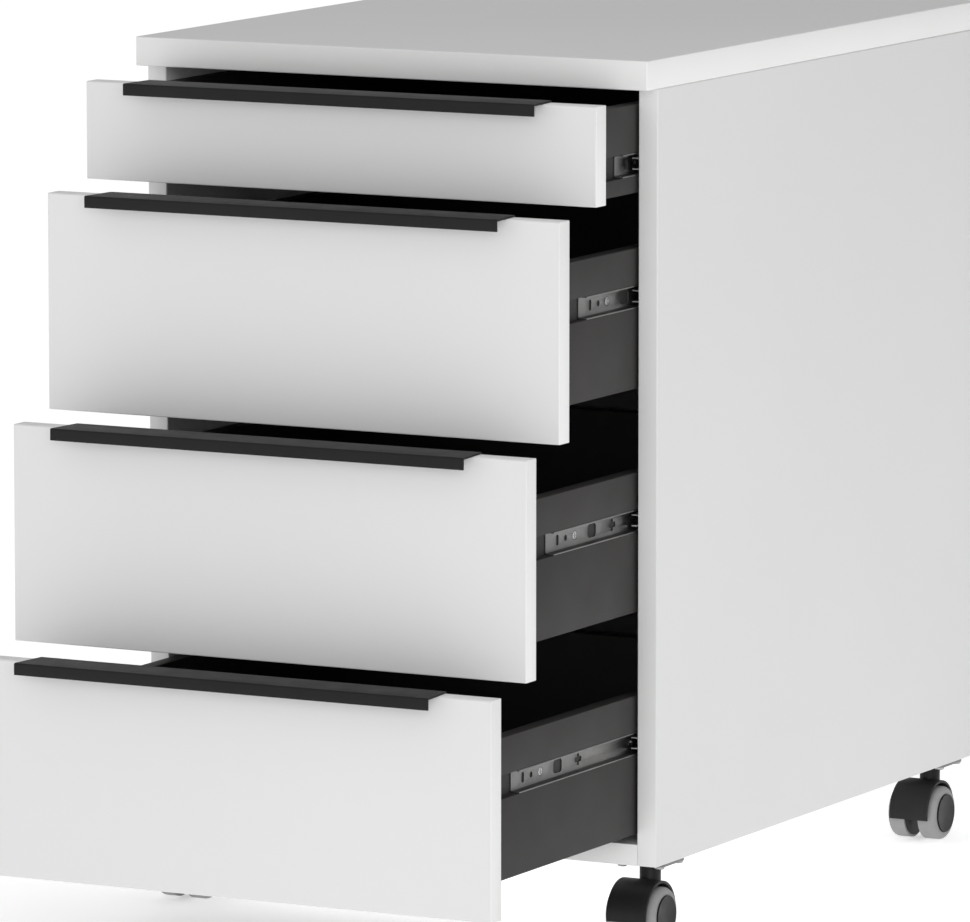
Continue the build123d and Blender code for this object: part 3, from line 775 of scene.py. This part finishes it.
# ------------------------------------------------------------------------------------------ drawers
@dataclass
class Drawer:
    """One drawer: its white front, black pull and dark box.

    Attributes:
        number: counted from the top.
        front_round: rounding of the front's visible edges.
        sheet: thickness of the pull's metal.
        bend: outer radius of the pull's bends.
        lip: how far the pull's lip hangs below its plate's top.
        taper: how much each end of the pull narrows from lip to back.
        wall: thickness of the box's walls.
        slide_depth: depth of the channel's groove in a wall.
        slack: room left in the grooves.
    """

    number: int
    front_round: float = 1.1 * MM
    sheet: float = 1.5 * MM
    bend: float = 1.3 * MM
    lip: float = 8.9 * MM
    taper: float = 3.3 * MM
    wall: float = 12.0 * MM
    slide_depth: float = 8.0 * MM
    slack: float = 0.15 * MM

    def node(self, part: str) -> str:
        """Return the name of one of this drawer's CAD nodes."""
        return f"drawer_{self.number}_{part}"

    @property
    def body(self) -> str:
        """The CAD body that carries this drawer."""
        return f"drawer_{self.number}"

    def build(self) -> None:
        """Make the drawer's pieces."""
        self._front()
        self._pull()
        self._walls()
        for part in ("back_wall", "floor"):
            board = Bench.block(self.node(f"{part}_board"), *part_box(self.node(part)))
            Bench.soften(board, 0.4 * MM, 2)
            Bench.dress(board, DARK_FOIL, self.body, (self.node(part),))
        flat = Screw()
        pan = Screw(head_height=1.8 * MM)
        screw_set(self.node("fasteners"), self.node("fastener_set"), self.body, {Run.X: flat, Run.Y: pan},
                  lambda middle, run: run is Run.X and middle.x < 0, 5.5 * MM)

    def _front(self) -> None:
        """Make the white front with its rounded, banded edges, whose lighter white is real banding and also
        painted highlight.
        """
        low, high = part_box(self.node("front"))
        front = Bench.block(self.node("front_board"), low, high)
        Bench.round_edges(front, self.front_round, 4,
                          lambda a, b: abs(a.y - low.y) < NEAR and abs(b.y - low.y) < NEAR)
        Bench.soften(front, 0.5 * MM, 2, 60.0)
        Bench.dress(front, WHITE_FRONT, self.body, (self.node("front"),))
        # the narrow faces take the lighter edge white: real banding plus painted highlight
        front.data.materials.append(WHITE_EDGE_AND_PAINTED_LIGHT.material())
        for polygon in front.data.polygons:
            if abs(polygon.normal.y) < 0.6:
                polygon.material_index = 1

    def _pull(self) -> None:
        """Fold the pull from one sheet: plate, lip in front, leg behind the front board."""
        low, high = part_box(self.node("pull"))
        pull = Bench.sheet(self.node("edge_pull"), (low.x, low.y, high.z), (high.x, high.y, high.z), Run.Z)
        for edge, drop in ((low.y, self.lip), (high.y, high.z - low.z)):
            Bench.pull_edge(pull, lambda a, b: abs(a.y - edge) < NEAR and abs(b.y - edge) < NEAR
                            and abs(a.z - high.z) < NEAR and abs(b.z - high.z) < NEAR, (0, 0, -drop))
        Bench.pick(pull, Pick.EDGES, lambda a, b: abs(a.y - high.y) < NEAR and abs(b.y - high.y) < NEAR)
        narrow = 1 - 2 * self.taper / (high.x - low.x)
        bpy.ops.transform.resize(value=(narrow, 1, 1), center_override=(0, high.y, high.z))
        Bench.clear()
        Bench.round_edges(pull, self.bend, 6, lambda a, b: abs(a.z - high.z) < NEAR
                          and abs(b.z - high.z) < NEAR and abs(a.y - b.y) < NEAR)
        Bench.thicken(pull, self.sheet)
        Bench.soften(pull, 0.3 * MM, 3, 50.0)
        Bench.dress(pull, POWDER_BLACK, self.body, (self.node("pull"),))

    def _walls(self) -> None:
        """Make the two side walls with the grooves for the runner and the floor."""
        low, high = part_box(self.node("side_walls"))
        rail_low, rail_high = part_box(self.node("runners"))
        floor_low, floor_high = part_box(self.node("floor"))
        right = Bench.block("wall", (high.x - self.wall, low.y, low.z), high)
        Bench.carve(right, Bench.block(
            "groove", (high.x - self.slide_depth, low.y - MM, rail_low.z - self.slack),
            (high.x + MM, high.y + MM, rail_high.z + self.slack)))
        Bench.carve(right, Bench.block(
            "groove", (high.x - self.wall - MM, low.y - MM, floor_low.z - self.slack),
            (floor_high.x + self.slack, high.y + MM, floor_high.z + self.slack)))
        Bench.soften(right, 0.4 * MM, 2)
        left = Bench.copy(right, "wall_left", mirrored=True)
        walls = Bench.join([right, left], self.node("side_wall_boards"))
        Bench.dress(walls, DARK_FOIL, self.body, (self.node("side_walls"),))


# ------------------------------------------------------------------------------------------ casters
@dataclass
class Caster:
    """A twin-wheel swivel caster.

    Attributes:
        web: half the thickness of the rib between the wheels.
        hood_wall: thickness of the hood.
        gap: room between tyre and hood.
        rim_round: rounding of the hood's rims.
        shoulder: rounding of a tyre's outer shoulder.
        rim: radius of the hub discs.
        flange: thickness of the black flange on a wheel's inner side.
        boss: radius of the swivel boss.
        boss_depth: height of the swivel boss.
        front_drop: how far the hood comes down below the axle in front.
        back_rise: how far above the axle the hood ends at the back.
        eye: radius of the boss that holds the axle.
        bore: radius of the hole for the axle.
        bore_depth: how far the axle goes into a hub.
        plate: thickness of the mounting plate.
        plate_corner: rounding of the plate's corners.
        raceway: radius, dome rounding and drop below the plate of the ball race.
        king_pin: radius and end rounding of the pin that it turns on.
        weld: how far below the plate's top the race and the pin begin.
        model_spot: the corner whose caster is modelled.
    """

    web: float = 4.0 * MM
    hood_wall: float = 2.0 * MM
    gap: float = 2.6 * MM
    rim_round: float = 0.9 * MM
    shoulder: float = 4.0 * MM
    rim: float = 15.0 * MM
    flange: float = 0.9 * MM
    boss: float = 8.0 * MM
    boss_depth: float = 20.0 * MM
    front_drop: float = 5.5 * MM
    back_rise: float = 4.0 * MM
    eye: float = 7.0 * MM
    bore: float = 3.05 * MM
    bore_depth: float = 11.2 * MM
    plate: float = 2.5 * MM
    plate_corner: float = 5.0 * MM
    raceway: tuple[float, float, float] = (8.5 * MM, 1.8 * MM, 2.0 * MM)
    king_pin: tuple[float, float] = (4.0 * MM, 0.8 * MM)
    weld: float = 0.5 * MM
    model_spot: str = "front_right"

    def build(self, spots: Sequence[str]) -> None:
        """Model one caster and copy it to every corner.

        Args:
            spots: the names of the corners.
        """
        models = {"housing": self._housing(), "tyres": self._tyres(), "hubs": self._hubs()}
        finishes = {"housing": NYLON, "tyres": TREAD, "hubs": NYLON}
        home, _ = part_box(f"caster_{self.model_spot}_axle")
        for spot in spots:
            place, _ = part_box(f"caster_{spot}_axle")
            for part, model in models.items():
                body = f"caster_{spot}" if part == "housing" else f"wheels_{spot}"
                piece = Bench.copy(model, f"caster_{spot}_{part}_moulding", place - home)
                Bench.dress(piece, finishes[part], body, (f"caster_{spot}_{part}",))
            axle = frame["nodes"][f"caster_{spot}_axle"].data.materials
            axle.clear()
            axle.append(AXLE_STEEL.material())
        for model in models.values():
            bpy.data.objects.remove(model)
        self._plates()

    def _wheel_box(self, part: str) -> Solid:
        """Return the box of the right-hand tyre or hub of the caster that is modelled."""
        return max(solids_of(f"caster_{self.model_spot}_{part}"), key=lambda solid: solid[0].x)

    def _axle_point(self) -> Vector:
        """Return the middle of the modelled caster's axle."""
        low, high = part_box(f"caster_{self.model_spot}_axle")
        return (low + high) / 2

    def _housing(self) -> bpy.types.Object:
        """Mould the hood, the rib between the wheels and the swivel boss as one piece."""
        low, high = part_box(f"caster_{self.model_spot}_housing")
        tyre_low, tyre_high = self._wheel_box("tyres")
        axle = self._axle_point()
        wheel = (tyre_high.z - tyre_low.z) / 2
        outer = wheel + self.gap + self.hood_wall
        hood = Bench.cylinder("housing", axle, outer, high.x - low.x, Run.X, 128)
        run = 2 * outer
        rise = (self.back_rise + self.front_drop) / run / 2
        point = axle + Vector((0, -run, -self.front_drop))
        Bench.pick(hood, Pick.FACES, lambda centre, normal: True)
        bpy.ops.mesh.bisect(plane_co=point, plane_no=Vector((0, -rise, 1)).normalized(), use_fill=True,
                            clear_inner=True, clear_outer=False)
        Bench.clear()
        swivel = frame_joint(f"caster_{self.model_spot}_swivel")
        boss_centre = (swivel.x, swivel.y, high.z - self.boss_depth / 2)
        Bench.carve(hood, Bench.cylinder("boss", boss_centre, self.boss, self.boss_depth, Run.Z, 64), "UNION")
        reach = high.x - low.x
        for hand in Hand:
            middle = swivel.x + hand.value * (self.web + reach / 2)
            pocket = Bench.cylinder("pocket", (middle, axle.y, axle.z), wheel + self.gap, reach, Run.X, 128)
            Bench.carve(hood, pocket)
        eye = Bench.cylinder("eye", (swivel.x, axle.y, axle.z), self.eye, 2 * self.web, Run.X, 48)
        Bench.carve(hood, eye, "UNION")
        Bench.carve(hood, Bench.cylinder("bore", axle, self.bore, reach, Run.X, 32))
        Bench.soften(hood, self.rim_round, 3, 50.0)
        return hood

    def _tyres(self) -> bpy.types.Object:
        """Turn the two tyres: a ring with a round outer shoulder and a lip round the hub disc."""
        low, high = self._wheel_box("tyres")
        axle = self._axle_point()
        radius = (high.z - low.z) / 2
        centre = (low + high) / 2
        tyre = Bench.cylinder("tyre", centre, radius, high.x - low.x, Run.X, 96)
        Bench.carve(tyre, Bench.cylinder("bore", centre, self.rim, 2 * (high.x - low.x), Run.X, 96))
        Bench.round_edges(tyre, self.shoulder, 8, lambda a, b: all(
            abs(end.x - high.x) < NEAR and (end - centre).yz.length > radius - 0.2 * MM for end in (a, b)))
        Bench.soften(tyre, 0.4 * MM, 3, 60.0)
        twin = Bench.copy(tyre, "tyre_twin", (2 * axle.x, 0, 0), mirrored=True)
        return Bench.join([tyre, twin], "tyres")

    def _hubs(self) -> bpy.types.Object:
        """Turn the two hubs: a flat disc outside, a flange inside and the hole for the axle."""
        low, high = self._wheel_box("hubs")
        axle = self._axle_point()
        centre = (low + high) / 2
        hub = Bench.cylinder("hub", centre, self.rim - 0.05 * MM, high.x - low.x, Run.X, 96)
        Bench.pick(hub, Pick.FACES, lambda middle, normal: normal.x > 0.99)
        bpy.ops.mesh.inset(thickness=0.8 * MM, depth=0.0)
        bpy.ops.mesh.inset(thickness=0.5 * MM, depth=-0.15 * MM)
        Bench.clear()
        flange = Bench.cylinder("flange", (low.x + self.flange / 2, axle.y, axle.z), (high.z - low.z) / 2,
                                self.flange, Run.X, 96)
        Bench.carve(hub, flange, "UNION")
        Bench.carve(hub, Bench.cylinder("bore", (low.x, axle.y, axle.z), self.bore, 2 * self.bore_depth,
                                        Run.X, 32))
        Bench.soften(hub, 0.25 * MM, 2, 30.0)
        twin = Bench.copy(hub, "hub_twin", (2 * axle.x, 0, 0), mirrored=True)
        return Bench.join([hub, twin], "hubs")

    def _plates(self) -> None:
        """Stamp the four mounting plates with their raceways, and make the screws that hold them."""
        plates = []
        for low, high in solids_of("caster_plates"):
            if plates:
                shift = low - Vector(min(vertex.co[axis] for vertex in plates[0].data.vertices)
                                     for axis in range(3))
                plates.append(Bench.copy(plates[0], "plate", shift))
                continue
            middle = (low + high) / 2
            under = high.z - self.plate
            plate = Bench.block("plate", (low.x, low.y, under), high)
            Bench.round_edges(plate, self.plate_corner, 6, lambda a, b: abs(a.z - b.z) > MM)
            race_radius, race_dome, race_drop = self.raceway
            pin_radius, pin_dome = self.king_pin
            top = high.z - self.weld
            for radius, dome, bottom in ((race_radius, race_dome, under - race_drop),
                                         (pin_radius, pin_dome, low.z)):
                stem = Bench.cylinder("stem", (middle.x, middle.y, (bottom + top) / 2), radius, top - bottom,
                                      Run.Z, 48)
                Bench.round_edges(stem, dome, 5, lambda a, b: a.z < bottom + NEAR and b.z < bottom + NEAR)
                Bench.carve(plate, stem, "UNION")
            Bench.soften(plate, 0.3 * MM, 2, 60.0)
            plates.append(plate)
        Bench.dress(Bench.join(plates, "caster_mounting_plates"), ZINC, "carcass", ("caster_plates",))
        pan = Screw(head_radius=3.75 * MM, head_height=2.0 * MM, shank_radius=2.0 * MM, recess_width=1.1 * MM)
        screw_set("caster_screws", "caster_screw_set", "carcass", {Run.Z: pan}, lambda middle, run: True,
                  1 * MM)


def frame_joint(name: str) -> Vector:
    """Return the point that a joint of the record turns about."""
    joint = next(joint for joint in frame["record"]["behaviour"]["joints"] if joint["name"] == name)
    return Vector(joint["pos_m"])


# ------------------------------------------------------------------------------------------ studio
@dataclass
class Studio:
    """The pale floor, the soft lights and the camera.

    Attributes:
        eye: the camera's place.
        heading: how far the camera is turned to the cabinet's right, in degrees.
        fall: how far it looks down, in degrees.
        lens: focal length in millimetres on a 36 mm sensor.
        floor_glow: how much light the floor sends out by itself, as a lit table does.
        horizon, zenith: strength of the sky at eye level and overhead.
        softbox: side of each soft light in metres.
        key, fill: place and power in watts of the light on each side.
        target: what the soft lights look at.
        floor_side: side of the floor in metres.
        sensor: width of the camera's sensor in millimetres.
    """

    eye: tuple[float, float, float] = (3.18798, -6.05307, 1.27713)
    heading: float = 27.80
    fall: float = 7.862
    lens: float = 337.3
    floor_glow: float = 0.5
    horizon: float = 0.5
    zenith: float = 0.6
    softbox: float = 3.0
    key: tuple[tuple[float, float, float], float] = ((2.7, -4.7, 1.3), 72.0)
    fill: tuple[tuple[float, float, float], float] = ((-3.6, -4.2, 1.0), 12.0)
    target: tuple[float, float, float] = (0.0, 0.0, 0.33)
    floor_side: float = 60.0
    sensor: float = 36.0

    def build(self) -> None:
        """Set the floor, the lights, the sky and the camera."""
        Bench.clear()
        bpy.ops.mesh.primitive_plane_add(size=self.floor_side, location=(0, 0, 0))
        floor = Bench.settle("studio_floor")
        glowing = PALE_FLOOR.material()
        shader = glowing.node_tree.nodes["Principled BSDF"]
        shader.inputs["Emission Color"].default_value = (1.0, 1.0, 1.0, 1.0)
        shader.inputs["Emission Strength"].default_value = self.floor_glow
        floor.data.materials.append(glowing)
        self._sky()
        self._softbox("key_softbox", *self.key)
        self._softbox("fill_softbox", *self.fill)
        self._camera()
        bpy.context.scene.view_settings.view_transform = "Standard"

    def _sky(self) -> None:
        """Light the scene with a white sky that changes a little from eye level to overhead."""
        world = bpy.data.worlds.new("studio_sky")
        world.use_nodes = True
        tree = world.node_tree
        place = tree.nodes.new("ShaderNodeTexCoord")
        parts = tree.nodes.new("ShaderNodeSeparateXYZ")
        tree.links.new(place.outputs["Generated"], parts.inputs["Vector"])
        fade = tree.nodes.new("ShaderNodeMapRange")
        fade.inputs["From Min"].default_value = 0.0
        fade.inputs["From Max"].default_value = 1.0
        fade.inputs["To Min"].default_value = self.horizon
        fade.inputs["To Max"].default_value = self.zenith
        tree.links.new(parts.outputs["Z"], fade.inputs["Value"])
        tree.links.new(fade.outputs["Result"], tree.nodes["Background"].inputs["Strength"])
        tree.nodes["Background"].inputs["Color"].default_value = (1.0, 1.0, 1.0, 1.0)
        bpy.context.scene.world = world

    def _softbox(self, name: str, place: tuple[float, float, float], power: float) -> None:
        """Hang a square soft light that looks at the cabinet.

        Args:
            name: the light's name.
            place: where it hangs.
            power: its power in watts.
        """
        lamp = bpy.data.lights.new(name, "AREA")
        lamp.shape = "SQUARE"
        lamp.size = self.softbox
        lamp.energy = power
        holder = bpy.data.objects.new(name, lamp)
        holder.location = place
        holder.rotation_euler = (Vector(self.target) - Vector(place)).to_track_quat("-Z", "Y").to_euler()
        bpy.context.scene.collection.objects.link(holder)

    def _camera(self) -> None:
        """Place the camera in front of the cabinet, to its right and a little above it."""
        camera = bpy.data.cameras.new("camera")
        camera.lens = self.lens
        camera.sensor_width = self.sensor
        camera.clip_start = 0.1
        camera.clip_end = 200.0
        holder = bpy.data.objects.new("camera", camera)
        holder.location = self.eye
        holder.rotation_euler = (math.radians(90.0 - self.fall), 0.0, math.radians(self.heading))
        bpy.context.scene.collection.objects.link(holder)
        bpy.context.scene.camera = holder


def main() -> None:
    """Build the cabinet from its frame outwards, then the studio round it."""
    logging.basicConfig(level=logging.INFO, format="%(name)s: %(message)s")
    bodies = frame["record"]["behaviour"]["bodies"]
    drawers = sum(1 for body in bodies if body.startswith("drawer_"))
    spots = [body.removeprefix("caster_") for body in bodies if body.startswith("caster_")]
    Carcass().build()
    Runners().build(drawers)
    for number in range(1, drawers + 1):
        Drawer(number).build()
    Caster().build(spots)
    Studio().build()


if __name__ == "__main__":
    main()
